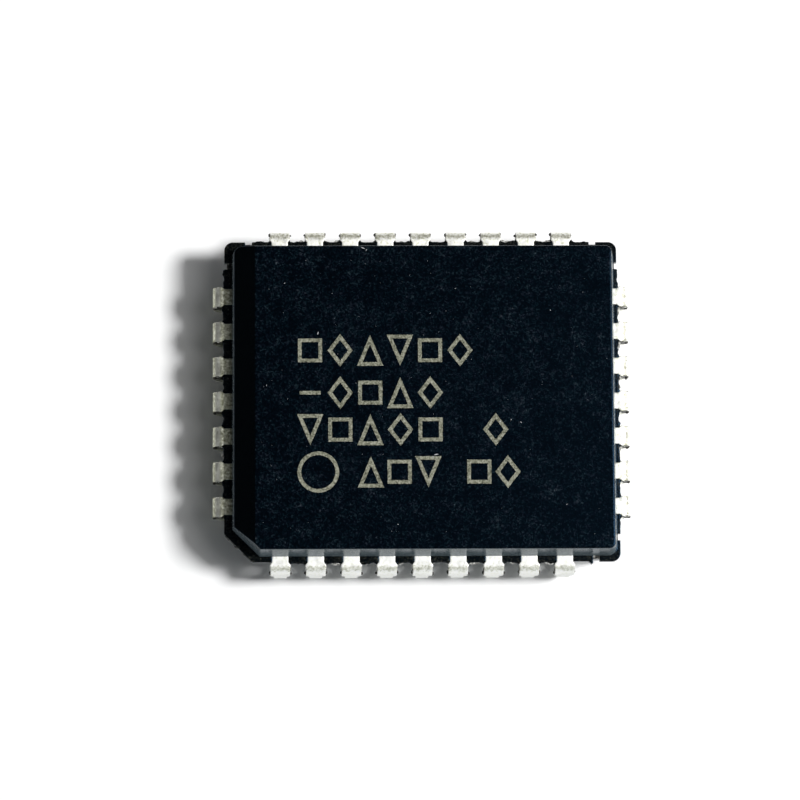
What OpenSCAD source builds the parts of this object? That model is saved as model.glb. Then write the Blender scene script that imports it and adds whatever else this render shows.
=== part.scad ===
// Plastic leaded chip carrier: a moulded body with J-shaped leads on all four sides.
// The lead frame, its paddle, the chip and the bond wires are cast inside the body.
// The origin lies on the seating plane, under the middle of the package.
// X runs along the long sides, Y along the short sides, Z up.

/* [Package] */
// Distance between neighbouring leads
pitch = 1.27; // [1.0:0.01:1.5]
// Number of leads along each long side
long_side_count = 9; // [8:1:11]
// Number of leads along each short side
short_side_count = 7; // [6:1:9]
// From the middle of the last lead of a row to the end of the body
end_margin = 1.905; // [1.75:0.005:2.3]
// Height of the top face over the seating plane
package_h = 3.4; // [3.2:0.01:4.0]
// Height of the parting line, which is also the top of the lead frame
parting_h = 2.29; // [2.1:0.01:2.4]
// Gap between the seating plane and the underside of the body
standoff = 0.71; // [0.5:0.01:0.9]

/* [Moulded body] */
// How far the foot of the upper half is set in from the lower half
upper_inset = 0.11; // [0.09:0.01:0.15]
// How far the upper half sits off the middle of the package, to the right
upper_shift = 0.08; // [0:0.01:0.08]
// How far the upper walls lean in over their whole height
upper_wall_inset = 0.136; // [0.06:0.001:0.2]
// Radius of the edges of the top face and of the bevel
top_edge_r = 0.06; // [0.03:0.01:0.1]
// How far the lower walls lean in over their whole height
lower_wall_inset = 0.116; // [0.06:0.001:0.2]
// Radius of the three rounded corners
corner_r = 0.35; // [0.25:0.01:0.5]
// Width of the long bevel over the first lead, seen from above
bevel_w = 0.77; // [0.5:0.01:0.9]
// Height of that bevel
bevel_h = 0.56; // [0.4:0.01:0.9]
// Length cut from each side at the chamfered corner
chamfer = 0.97; // [0.8:0.01:1.2]
// How far the thin moulding flash stands out past the lower half
flash_reach = 0.09; // [0.05:0.01:0.15]
// Corner radius of the flash
flash_r = 0.3; // [0.2:0.01:0.4]
// Length of the burr where the mould was filled
burr_l = 0.1; // [0.02:0.01:0.15]
// Width of the burr at its root
burr_w = 0.16; // [0.08:0.01:0.2]

/* [Underside] */
// Free room on both sides of a lead tip in its pocket
pocket_side_gap = 0.16; // [0.1:0.01:0.2]
// Free room past a lead tip in its pocket
pocket_end_gap = 0.2; // [0.1:0.01:0.4]
// Free room over a lead tip in its pocket
pocket_head_gap = 0.41; // [0.2:0.01:0.6]
// Diameter of the round ejector mark
ejector_d = 2.5; // [1.5:0.1:4.0]
// Depth of the round ejector mark
ejector_depth = 0.08; // [0.03:0.01:0.15]

/* [Leads] */
// Thickness of the lead frame
lead_t = 0.254; // [0.2:0.001:0.28]
// How far the leads stand out from the lower half of the body
lead_reach = 0.51; // [0.45:0.01:0.6]
// Width of a lead where it leaves the body
exit_w = 0.58; // [0.4:0.01:0.6]
// Width of the shoulder of a lead
shoulder_w = 0.7; // [0.62:0.01:0.75]
// Width of the lower part of a lead
foot_w = 0.46; // [0.35:0.01:0.53]
// How far the shoulder reaches down from the top of the lead
shoulder_drop = 0.74; // [0.6:0.01:0.9]
// Height of the taper under the shoulder
taper_h = 0.12; // [0.08:0.01:0.3]
// Outer radius of the bend at the top
top_bend_r = 0.33; // [0.29:0.01:0.4]
// Outer radius of the J at the bottom
foot_r = 1.0; // [0.8:0.01:1.1]
// How far the J turns past its lowest point, in degrees
foot_curl = 80; // [60:1:85]
// How far the cut dam bar stands out from the side of a lead
dam_nib = 0.02; // [0.01:0.01:0.05]
// Width of the cut dam bar along the lead
dam_w = 0.08; // [0.05:0.01:0.09]
// How far beyond the flash a lead takes to widen to its shoulder
flare_run = 0.1; // [0.04:0.01:0.12]

/* [Lead frame inside] */
// Width of a finger at its inner tip
tip_w = 0.32; // [0.25:0.01:0.4]
// Length of the straight stretch at the inner tip of a finger
tip_run = 0.4; // [0.3:0.01:0.6]
// Length of the straight stretch just inside the wall
root_run = 0.55; // [0.4:0.01:0.7]
// Gap between the finger tips and the paddle
finger_gap = 0.35; // [0.25:0.01:0.5]
// How far the paddle reaches past the chip on every side
paddle_margin = 1.1; // [0.9:0.01:1.3]
// Width of the tie bars that held the paddle
tie_w = 0.24; // [0.2:0.01:0.35]
// From the end of the body to the middle of the tie bar stub beside it
tie_inset = 0.78; // [0.75:0.01:0.88]

/* [Chip] */
// Length of the chip
die_l = 5.0; // [4.5:0.01:5.5]
// Width of the chip
die_w = 3.4; // [3.0:0.01:3.7]
// Thickness of the chip
die_t = 0.38; // [0.25:0.01:0.45]
// Thickness of the glue under the chip
attach_t = 0.03; // [0.02:0.01:0.05]
// Thickness of a bond wire
wire_t = 0.04; // [0.025:0.005:0.05]
// Height of the wire loops over the chip
loop_h = 0.25; // [0.15:0.01:0.3]
// From the edge of the chip to its row of bonds
pad_inset = 0.15; // [0.1:0.01:0.25]
// From the tip of a finger to its bond
bond_inset = 0.2; // [0.1:0.01:0.25]

/* [Hidden] */
$fn = 64;

// Overrun of every cut
over = 0.5;

// The four sides, anticlockwise: left, front, right and back
SIDES = [0, 1, 2, 3];

// Facets on a rounded edge of the top face or the bevel
edge_steps = 4;

// Where the knee of a bond wire lies along the wire
knee_share = 0.3;

// Body and lead frame sizes that follow
long_row = (long_side_count - 1) * pitch;
short_row = (short_side_count - 1) * pitch;
body_l = long_row + 2 * end_margin;
body_w = short_row + 2 * end_margin;
upper_l = body_l - 2 * upper_inset;
upper_w = body_w - 2 * upper_inset;
upper_h = package_h - parting_h;
frame_z = parting_h - lead_t;
lower_h = frame_z - standoff;
paddle_l = die_l + 2 * paddle_margin;
paddle_w = die_w + 2 * paddle_margin;
die_z = parting_h + attach_t;
die_top = die_z + die_t;
shoulder_z = parting_h - shoulder_drop;
foot_inner_r = foot_r - lead_t;
tip_z = foot_r - foot_inner_r * cos(foot_curl);
span = body_l + body_w;

// Leads go round the package in the order of SIDES, and pin 1 is the middle one on the left
lead_count = 2 * (long_side_count + short_side_count);
function row_count(side) = side % 2 == 0 ? short_side_count : long_side_count;
function row_start(side) = side == 0 ? 0 : row_start(side - 1) + row_count(side - 1);
function pin_number(place) = (place + lead_count - floor((short_side_count - 1) / 2)) % lead_count + 1;
function lead_name(pin) = str("lead_", pin < 10 ? "0" : "", pin);

// Distances from the centre line of the package to the edges that face a side
function side_angle(side) = 180 + 90 * side;
function wall(side) = (side % 2 == 0 ? body_l : body_w) / 2;
function paddle_edge(side) = (side % 2 == 0 ? paddle_l : paddle_w) / 2;
function die_edge(side) = (side % 2 == 0 ? die_l : die_w) / 2;
function finger_tip(side) = paddle_edge(side) + finger_gap;

// Places along a side, evenly spread over the row, the paddle's edge or the chip's edge
function along(side, slot, step) = (slot - (row_count(side) - 1) / 2) * step;
function row_place(side, slot) = along(side, slot, pitch);
function tip_place(side, slot) = along(side, slot, (side % 2 == 0 ? paddle_w : paddle_l) / row_count(side));
function pad_place(side, slot) = along(side, slot, (side % 2 == 0 ? die_w : die_l) / row_count(side));

// Moulded body

// Half of a wall's section, from the axis of a corner outwards, with a rounded or sharp top edge
module wall_section(h, lean, edge_r) {
  slope = atan(lean / h);
  edge_x = corner_r - lean - edge_r * tan(45 - slope / 2);
  polygon(concat(
    [[0, h], [0, 0], [corner_r, 0]],
    edge_r == 0
      ? [[corner_r - lean, h]]
      : [for (i = [0 : edge_steps])
          let (a = slope + i * (90 - slope) / edge_steps)
            [edge_x + edge_r * cos(a), h - edge_r + edge_r * sin(a)]]
  ));
}

// A block with sloped walls and rounded corners, widest at its foot
module drafted_block(l, w, h, lean, edge_r) {
  straight_l = l - 2 * corner_r;
  straight_w = w - 2 * corner_r;
  translate([-straight_l / 2, -straight_w / 2, 0])
    cube([straight_l, straight_w, h]);
  for (turn = [0, 180]) {
    rotate([0, 0, turn])
      translate([straight_l / 2, 0, 0])
        rotate([90, 0, 0])
          linear_extrude(height = straight_w, center = true)
            wall_section(h, lean, edge_r);
    rotate([0, 0, turn + 90])
      translate([straight_w / 2, 0, 0])
        rotate([90, 0, 0])
          linear_extrude(height = straight_l, center = true)
            wall_section(h, lean, edge_r);
  }
  for (x = [-straight_l / 2, straight_l / 2], y = [-straight_w / 2, straight_w / 2])
    translate([x, y, 0])
      rotate_extrude()
        wall_section(h, lean, edge_r);
}

// What the chamfer cuts from a block of that kind, at its left and front corner
module chamfer_cut(l, w, h, lean) {
  face = (l / 2 + w / 2 - chamfer) * cos(45);
  slope = lean / h;
  rotate([0, 0, 225])
    rotate([90, 0, 0])
      linear_extrude(height = span, center = true)
        polygon([
          [face + over * slope, -over],
          [span, -over],
          [span, h + over],
          [face - (h + over) * slope, h + over]
        ]);
}

module chamfered_block(l, w, h, lean, edge_r) {
  difference() {
    drafted_block(l, w, h, lean, edge_r);
    chamfer_cut(l, w, h, lean);
  }
}

// Direction that a surface faces, from level and to the left at 0 to straight up at 90
function facing(a) = [-cos(a), sin(a)];

// Centre of the round that replaces a corner between surfaces that face two directions
function round_centre(corner, a, b, r) =
  corner - r * (facing(a) + facing(b)) / (1 + facing(a) * facing(b));

// Corners between the facets of that round
function facet_corners(centre, a, b, r) =
  let (step = (b - a) / edge_steps)
    [for (i = [1 : edge_steps - 1]) centre + r / cos(step / 2) * facing(a + i * step)];

// Where the outermost facet of that round meets the surface beside it
function facet_meets(centre, surface, facet, r) =
  centre + r / cos((surface - facet) / 2) * facing((surface + facet) / 2);

// The long bevel on the left, over the first lead, with both its edges rounded
module bevel_cut() {
  slope = atan(upper_wall_inset / upper_h);
  tilt = atan2(bevel_w, bevel_h);
  foot = [-upper_l / 2 + (upper_h - bevel_h) * upper_wall_inset / upper_h, upper_h - bevel_h];
  low = round_centre(foot, slope, tilt, top_edge_r);
  high = round_centre(foot + [bevel_w, bevel_h], tilt, 90, top_edge_r);
  low_half = (tilt - slope) / edge_steps / 2;
  high_half = (90 - tilt) / edge_steps / 2;
  first = low + top_edge_r * facing(slope + low_half) - over * facing(slope + low_half + 90);
  last = high + top_edge_r * facing(90 - high_half) + over * facing(180 - high_half);
  rotate([90, 0, 0])
    linear_extrude(height = span, center = true)
      polygon(concat(
        [first],
        facet_corners(low, slope, tilt, top_edge_r),
        [facet_meets(low, tilt, tilt - low_half, top_edge_r)],
        [facet_meets(high, tilt, tilt + high_half, top_edge_r)],
        facet_corners(high, tilt, 90, top_edge_r),
        [last, [first[0] - over, last[1]], [first[0] - over, first[1]]]
      ));
}

module upper_half() {
  translate([upper_shift, 0, parting_h])
    difference() {
      chamfered_block(upper_l, upper_w, upper_h, upper_wall_inset, top_edge_r);
      bevel_cut();
    }
}

module lower_half() {
  translate([0, 0, frame_z])
    mirror([0, 0, 1])
      chamfered_block(body_l, body_w, lower_h, lower_wall_inset, 0);
}

// Outline of the thin layer of moulding between the two halves
module flash_outline() {
  flash_l = body_l + 2 * flash_reach;
  flash_w = body_w + 2 * flash_reach;
  straight_l = flash_l - 2 * flash_r;
  straight_w = flash_w - 2 * flash_r;
  cut = (body_l / 2 + body_w / 2 - chamfer) / 2 + flash_reach * cos(45);
  difference() {
    union() {
      square([flash_l, straight_w], center = true);
      square([straight_l, flash_w], center = true);
      for (x = [-straight_l / 2, straight_l / 2], y = [-straight_w / 2, straight_w / 2])
        translate([x, y])
          circle(r = flash_r);
    }
    rotate(45)
      translate([-span - cut * sqrt(2), -span / 2])
        square(span);
    tie_notches();
  }
}

// Notches in the flash where the tie bars were cut off flush with the body
module tie_notches() {
  for (corner = tie_corners()) {
    translate([corner[0] * tie_x() - tie_w / 2, corner[1] * body_w / 2 - (corner[1] < 0 ? over : 0)])
      square([tie_w, over]);
    translate([corner[0] * body_l / 2 - (corner[0] < 0 ? over : 0), corner[1] * tie_y() - tie_w / 2])
      square([over, tie_w]);
  }
}

// The rough spike that the mould's filling point left beside a tie bar
module gate_burr() {
  root = [tie_x() - tie_w / 2, -body_w / 2 - flash_reach];
  polygon([root + [-burr_w, 0], root, root + [0, -burr_l / 2], root + [-burr_w / 4, -burr_l]]);
}

module flash() {
  translate([0, 0, frame_z])
    linear_extrude(height = lead_t)
      union() {
        flash_outline();
        gate_burr();
      }
}

// The pocket that takes the tip of one J, open to the outside and downwards
module lead_pocket(side, slot) {
  pocket_w = foot_w + 2 * pocket_side_gap;
  pocket_end = foot_centre(side) - foot_r * sin(foot_curl) - pocket_end_gap;
  rotate(side_angle(side))
    translate([pocket_end, row_place(side, slot) - pocket_w / 2, standoff - over])
      cube([wall(side) - pocket_end + over, pocket_w, tip_z + pocket_head_gap - standoff + over]);
}

module ejector_mark() {
  translate([0, 0, standoff - over])
    cylinder(h = ejector_depth + over, d = ejector_d);
}

module mould_body() {
  color("#15191c")
    difference() {
      union() {
        upper_half();
        flash();
        lower_half();
      }
      for (side = SIDES, slot = [0 : row_count(side) - 1])
        lead_pocket(side, slot);
      ejector_mark();
      lead_frame_hollow();
      die_attach();
      die();
      bond_wires();
    }
}

// Leads

// Centre of the J's round foot, measured from the middle of the package
function foot_centre(side) = wall(side) + lead_reach - foot_r;

// Outline of one lead from above: finger, exit, cut dam bar and shoulder
module lead_plan(side, slot) {
  tip = finger_tip(side);
  root = wall(side) - upper_inset;
  flare = wall(side) + flash_reach;
  dam = flare + flare_run;
  end = wall(side) + lead_reach + over;
  tip_y = tip_place(side, slot);
  row_y = row_place(side, slot);
  half = [
    [tip, tip_y, tip_w],
    [tip + tip_run, tip_y, tip_w],
    [root - root_run, row_y, exit_w],
    [flare, row_y, exit_w],
    [dam, row_y, shoulder_w + 2 * dam_nib],
    [dam + dam_w, row_y, shoulder_w + 2 * dam_nib],
    [dam + dam_w, row_y, shoulder_w],
    [end, row_y, shoulder_w]
  ];
  last = len(half) - 1;
  polygon(concat(
    [for (p = half) [p[0], p[1] - p[2] / 2]],
    [for (i = [last : -1 : 0]) [half[i][0], half[i][1] + half[i][2] / 2]]
  ));
}

// A strip of sheet bent round a quarter turn or more, clockwise from the X axis
module bent_strip(r, turn) {
  intersection() {
    difference() {
      circle(r = r);
      circle(r = r - lead_t);
    }
    polygon([[0, 0], [2 * r, 0], [2 * r, -2 * r], [-2 * r, -2 * r], 2 * r * [cos(turn), -sin(turn)]]);
  }
}

// Side view of a lead: flat finger, top bend, upright and J
module lead_profile(side) {
  outer = wall(side) + lead_reach;
  bend_x = outer - top_bend_r;
  bend_z = parting_h - top_bend_r;
  translate([finger_tip(side), frame_z])
    square([bend_x - finger_tip(side), lead_t]);
  translate([bend_x, bend_z])
    rotate(90)
      intersection() {
        bent_strip(top_bend_r, 90);
        translate([0, -top_bend_r])
          square(top_bend_r);
      }
  translate([outer - lead_t, foot_r])
    square([lead_t, bend_z - foot_r]);
  translate([foot_centre(side), foot_r])
    bent_strip(foot_r, 90 + foot_curl);
}

// Front view of a lead below its shoulder
module foot_front() {
  taper_z = shoulder_z - taper_h;
  polygon([
    [-foot_w / 2, -over],
    [foot_w / 2, -over],
    [foot_w / 2, taper_z],
    [shoulder_w / 2, shoulder_z],
    [-shoulder_w / 2, shoulder_z],
    [-foot_w / 2, taper_z]
  ]);
}

module lead(side, slot) {
  color("#b9bab2")
    rotate(side_angle(side))
      intersection() {
        rotate([90, 0, 0])
          linear_extrude(height = span, center = true)
            lead_profile(side);
        union() {
          translate([0, 0, shoulder_z])
            linear_extrude(height = shoulder_drop + over)
              lead_plan(side, slot);
          translate([0, row_place(side, slot), 0])
            rotate([90, 0, 90])
              linear_extrude(height = span)
                foot_front();
        }
      }
}

// Lead frame inside

// Middle of the tie bar stubs, from the centre of the package
function tie_x() = body_l / 2 - tie_inset;
function tie_y() = body_w / 2 - tie_inset;

// The tie bars run to every corner but the chamfered one
function tie_corners() = [[1, -1], [1, 1], [-1, 1]];

// One tie bar: a diagonal arm from the paddle that forks to the two sides of its corner
module tie_bar(corner) {
  mirror([corner[0] < 0 ? 1 : 0, 0])
    mirror([0, corner[1] < 0 ? 1 : 0]) {
      fork = [tie_x(), tie_y()];
      start = [paddle_l / 2, paddle_w / 2];
      arm = fork - start;
      turn = atan2(arm[1], arm[0]);
      across = tie_w / 2 * [-sin(turn), cos(turn)];
      along_arm = tie_w / 2 * [cos(turn), sin(turn)];
      polygon([
        start - along_arm - across,
        fork - across,
        fork + across,
        start - along_arm + across
      ]);
      translate(fork - [tie_w, tie_w] / 2)
        square([tie_w, body_w / 2 - tie_y() + tie_w / 2]);
      translate(fork - [tie_w, tie_w] / 2)
        square([body_l / 2 - tie_x() + tie_w / 2, tie_w]);
    }
}

module paddle_outline() {
  square([paddle_l, paddle_w], center = true);
  for (corner = tie_corners())
    tie_bar(corner);
}

module die_paddle() {
  color("#b98b5e")
    translate([0, 0, frame_z])
      linear_extrude(height = lead_t)
        paddle_outline();
}

// The room that paddle, tie bars and leads take in the moulding
module lead_frame_hollow() {
  translate([0, 0, frame_z])
    linear_extrude(height = lead_t) {
      paddle_outline();
      for (side = SIDES, slot = [0 : row_count(side) - 1])
        rotate(side_angle(side))
          lead_plan(side, slot);
    }
}

// Chip

module die_attach() {
  color("#8d8f93")
    translate([-die_l / 2, -die_w / 2, parting_h])
      cube([die_l, die_w, attach_t]);
}

module die() {
  color("#5c6470")
    translate([-die_l / 2, -die_w / 2, die_z])
      cube([die_l, die_w, die_t]);
}

// One bond wire: up from the chip, over a knee and down to its finger
module bond_wire(side, slot) {
  start = [die_edge(side) - pad_inset, pad_place(side, slot)];
  end = [finger_tip(side) + bond_inset, tip_place(side, slot)];
  run = norm(end - start);
  knee = knee_share * run;
  top = die_top + loop_h;
  rotate(side_angle(side))
    translate(start)
      rotate(atan2(end[1] - start[1], end[0] - start[0]))
        rotate([90, 0, 0])
          linear_extrude(height = wire_t, center = true)
            polygon([
              [0, die_top],
              [wire_t, die_top],
              [wire_t, top - wire_t],
              [knee, top - wire_t],
              [run - wire_t, parting_h],
              [run, parting_h],
              [knee, top],
              [0, top]
            ]);
}

module bond_wires() {
  color("#d9b64c")
    for (side = SIDES, slot = [0 : row_count(side) - 1])
      bond_wire(side, slot);
}

mould_body();
die_paddle();
die_attach();
die();
bond_wires();
for (side = SIDES, slot = [0 : row_count(side) - 1])
  lead(side, slot);
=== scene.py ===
import bmesh
import bpy
import math
import random
from mathutils import Matrix, Vector


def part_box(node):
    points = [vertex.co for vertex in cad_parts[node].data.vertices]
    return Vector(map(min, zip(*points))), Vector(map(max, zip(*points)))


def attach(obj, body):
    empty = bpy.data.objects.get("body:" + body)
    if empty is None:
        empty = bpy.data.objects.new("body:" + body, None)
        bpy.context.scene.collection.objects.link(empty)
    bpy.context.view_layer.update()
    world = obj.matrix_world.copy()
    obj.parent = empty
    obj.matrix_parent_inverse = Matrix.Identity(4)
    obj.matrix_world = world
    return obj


# Looks of a plastic leaded chip carrier, seen nearly from above in hard light from the right.
# Blender works in metres, in the frame of the solids. The boxes of nodes, the floor and the lamps
# are in metres, and so is each value that is written times mm. The sizes and places of the shapes
# made here are in mm, until mm turns their points into metres.

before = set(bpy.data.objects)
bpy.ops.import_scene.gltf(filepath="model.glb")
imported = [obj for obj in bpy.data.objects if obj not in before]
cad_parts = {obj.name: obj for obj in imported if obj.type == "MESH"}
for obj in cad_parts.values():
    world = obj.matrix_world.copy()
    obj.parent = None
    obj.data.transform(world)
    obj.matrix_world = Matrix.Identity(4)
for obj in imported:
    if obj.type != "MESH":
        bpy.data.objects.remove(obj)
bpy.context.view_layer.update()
mm = 0.001

BODY_LOW, BODY_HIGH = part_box("mould_body")
LEADS = sorted(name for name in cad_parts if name.startswith("lead_"))

# A lead stands on the side where its box passes the box of the body by more than this
SIDE_MARGIN = 0.1 * mm

# Height of the parting line and thickness of the lead frame
PARTING = 2.29
LEAD_T = 0.254


# Helpers for node materials

def new_material(name):
    material = bpy.data.materials.new(name)
    material.use_nodes = True
    tree = material.node_tree
    shader = tree.nodes["Principled BSDF"]
    return material, tree, shader


def node(tree, kind, **values):
    made = tree.nodes.new(kind)
    for key, value in values.items():
        setattr(made, key, value)
    return made


def link(tree, source, target):
    tree.links.new(source, target)


def object_place(tree):
    return node(tree, "ShaderNodeTexCoord").outputs["Object"]


def coordinates(tree, vector):
    made = node(tree, "ShaderNodeSeparateXYZ")
    link(tree, vector, made.inputs[0])
    return made.outputs


def noise(tree, place, scale, detail=3.0, roughness=0.55, distortion=0.0):
    made = node(tree, "ShaderNodeTexNoise")
    made.inputs["Distortion"].default_value = distortion
    made.inputs["Scale"].default_value = scale
    made.inputs["Detail"].default_value = detail
    made.inputs["Roughness"].default_value = roughness
    link(tree, place, made.inputs["Vector"])
    return made.outputs["Fac"]


def ramp(tree, fac, stops):
    made = node(tree, "ShaderNodeValToRGB")
    elements = made.color_ramp.elements
    elements[0].position, elements[0].color = stops[0]
    elements[1].position, elements[1].color = stops[-1]
    for position, colour in stops[1:-1]:
        elements.new(position).color = colour
    link(tree, fac, made.inputs["Fac"])
    return made.outputs["Color"]


def tones(tree, level, stops):
    """A ramp of plain colours."""
    return ramp(tree, level, [(place, tone + (1.0,)) for place, tone in stops])


def grey(level):
    return (level, level, level, 1.0)


def fade(tree, level, stops):
    """A ramp of plain levels."""
    return ramp(tree, level, [(place, grey(value)) for place, value in stops])


def rgb(tree, colour):
    made = node(tree, "ShaderNodeRGB")
    made.outputs[0].default_value = colour + (1.0,)
    return made.outputs[0]


def rounded(tree, radius):
    """Normals that turn gently round the sharp edges of a solid."""
    made = node(tree, "ShaderNodeBevel", samples=6)
    made.inputs["Radius"].default_value = radius
    return made.outputs["Normal"]


def bump(tree, height, strength, distance, normal=None):
    made = node(tree, "ShaderNodeBump")
    made.inputs["Strength"].default_value = strength
    made.inputs["Distance"].default_value = distance
    link(tree, height, made.inputs["Height"])
    if normal is not None:
        link(tree, normal, made.inputs["Normal"])
    return made.outputs["Normal"]


def combine(tree, operation, *values):
    made = node(tree, "ShaderNodeMath", operation=operation)
    for socket, value in zip(made.inputs, values):
        if isinstance(value, (int, float)):
            socket.default_value = value
        else:
            link(tree, value, socket)
    return made.outputs[0]


def vector_math(tree, operation, first, second=None):
    made = node(tree, "ShaderNodeVectorMath", operation=operation)
    link(tree, first, made.inputs[0])
    if second is not None:
        made.inputs[1].default_value = second
    return made.outputs


def blend(tree, factor, first, second):
    made = node(tree, "ShaderNodeMix", data_type="RGBA")
    link(tree, factor, made.inputs["Factor"])
    link(tree, first, made.inputs["A"])
    link(tree, second, made.inputs["B"])
    return made.outputs["Result"]


def grain_material(name, grain, stops, roughness, bumps, metallic=0.0, specular=0.5):
    """One noise gives the tones and the bumps, which are given as strength and depth."""
    material, tree, shader = new_material(name)
    level = noise(tree, object_place(tree), *grain)
    link(tree, tones(tree, level, stops), shader.inputs["Base Color"])
    link(tree, bump(tree, level, *bumps), shader.inputs["Normal"])
    shader.inputs["Roughness"].default_value = roughness
    shader.inputs["Metallic"].default_value = metallic
    shader.inputs["Specular IOR Level"].default_value = specular
    return material


# Moulding compound

# Each noise here and below: features per metre and detail, and where they are set also roughness
# and distortion
MOULD_FINE = (12500.0, 3.0, 0.8, 0.1)
MOULD_GLINT = (21000.0, 2.0, 0.8)
MOULD_CLOUD = (1600.0, 5.0, 0.65)
MOULD_HUE = (5000.0, 2.0)

# The level of the speckle is the fine noise, shifted, and a share of the cloudy one
FINE_SHIFT = -0.03
CLOUD_SHARE = 0.36
HUE_FADE = [(0.45, 0.0), (0.60, 1.0)]

MOULD_ROUGHNESS = 0.25
MOULD_TINT = (0.22, 0.55, 1.0, 1.0)
MOULD_SPECULAR = 0.22
MOULD_ROUND = 0.06 * mm
MOULD_BUMPS = (0.3, 0.0012 * mm)

# The top face lies above this height, and the flash between the other two
TOP_LEVEL = BODY_HIGH[2] - 0.005 * mm
FLASH_HIGH = (PARTING + 0.01) * mm
FLASH_LOW = (PARTING - LEAD_T - 0.02) * mm

# Height of the upper half's walls, over which their tone changes
WALL_RISE = float(BODY_HIGH[2]) - PARTING * mm

# How far a normal points up or down on an upright face and on one that leans as the bevel does
LEAN_FADE = [(0.30, 1.0), (0.70, 0.0)]

# Where the moulding compound was broken off at the filling point
SCUFF_PLACE = Vector((6.22, -5.62, 2.48)) * mm
SCUFF_SIZE = Vector((0.16, 0.16, 0.20)) * mm
SCUFF_RAGGED = 1.2
SCUFF_FADE = [(0.0, 1.0), (0.75, 0.8), (0.95, 0.0)]
SCUFFED = (0.16, 0.17, 0.19)

# Tones of the ground top face by the level of its speckle: bluish where dark, grey where it glints. The
# speckle is partly the grain of the ground face and partly painted glints, and its grey upper tones are
# painted glints.
TEAL_GRAIN_AND_GLINTS = [
    (0.50, (0.00001, 0.00002, 0.00005)),
    (0.61, (0.00005, 0.0004, 0.0010)),
    (0.70, (0.0007, 0.0032, 0.0052)),
    (0.79, (0.0060, 0.0115, 0.0155)),
    (0.88, (0.0270, 0.0390, 0.0460)),
    (0.96, (0.0950, 0.1150, 0.1250)),
]
VIOLET_GRAIN_AND_GLINTS = [
    (0.50, (0.00001, 0.00002, 0.00005)),
    (0.61, (0.00010, 0.0003, 0.0010)),
    (0.70, (0.0014, 0.0026, 0.0052)),
    (0.79, (0.0080, 0.0105, 0.0155)),
    (0.88, (0.0310, 0.0380, 0.0450)),
    (0.96, (0.1000, 0.1130, 0.1230)),
]

# Tones of the walls far from the parting line and at it, of the polished bevel, and of the flash. The
# walls' bluish grey is painted sheen, and their lighter tone at the parting line is painted reflection
# of the white surroundings. The bevel's near-black is partly its polished finish and partly painted
# shade.
PAINTED_SHEEN_WALL = [
    (0.50, (0.028, 0.041, 0.048)),
    (0.65, (0.048, 0.066, 0.074)),
    (0.85, (0.090, 0.110, 0.118)),
]
PAINTED_REFLECTION_LOW_WALL = [
    (0.50, (0.078, 0.104, 0.118)),
    (0.65, (0.120, 0.152, 0.168)),
    (0.85, (0.190, 0.224, 0.236)),
]
# The bevel's near-black is partly its polished finish and partly painted shade
POLISHED_AND_SHADED = [(0.50, (0.0002, 0.0006, 0.0008)), (0.80, (0.0006, 0.0012, 0.0016))]
SEEPED = [
    (0.52, (0.0006, 0.0007, 0.0005)),
    (0.68, (0.0040, 0.0042, 0.0030)),
    (0.80, (0.0220, 0.0225, 0.0170)),
    (0.92, (0.1000, 0.1000, 0.0850)),
]


def spot(tree, place, middle, size, ragged):
    """One within a round patch with a ragged rim, and nought outside it."""
    moved = vector_math(tree, "SUBTRACT", place, middle)["Vector"]
    scaled = vector_math(tree, "DIVIDE", moved, size)["Vector"]
    distance = vector_math(tree, "LENGTH", scaled)["Value"]
    return fade(tree, combine(tree, "MULTIPLY_ADD", ragged, SCUFF_RAGGED, distance), SCUFF_FADE)


def upright(tree, normal):
    """One where a face stands upright, falling to nought where it leans as far as the bevel."""
    lean = combine(tree, "ABSOLUTE", coordinates(tree, normal)["Z"])
    return fade(tree, lean, LEAN_FADE)


def ground_grain_and_glints(tree, place, level):
    """The speckle of the ground top face, in two hues: grain with painted glints."""
    hue = fade(tree, noise(tree, place, *MOULD_HUE), HUE_FADE)
    return blend(tree, hue, tones(tree, level, TEAL_GRAIN_AND_GLINTS), tones(tree, level, VIOLET_GRAIN_AND_GLINTS))


def wall_sheen_tones(tree, height, level):
    """The walls of both halves in painted sheen, lighter towards the parting line as painted
    reflection.
    """
    above = combine(tree, "MULTIPLY_ADD", height, 1.0 / WALL_RISE, -PARTING * mm / WALL_RISE)
    away = combine(tree, "ABSOLUTE", above)
    return blend(tree, away, tones(tree, level, PAINTED_REFLECTION_LOW_WALL), tones(tree, level, PAINTED_SHEEN_WALL))


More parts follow.
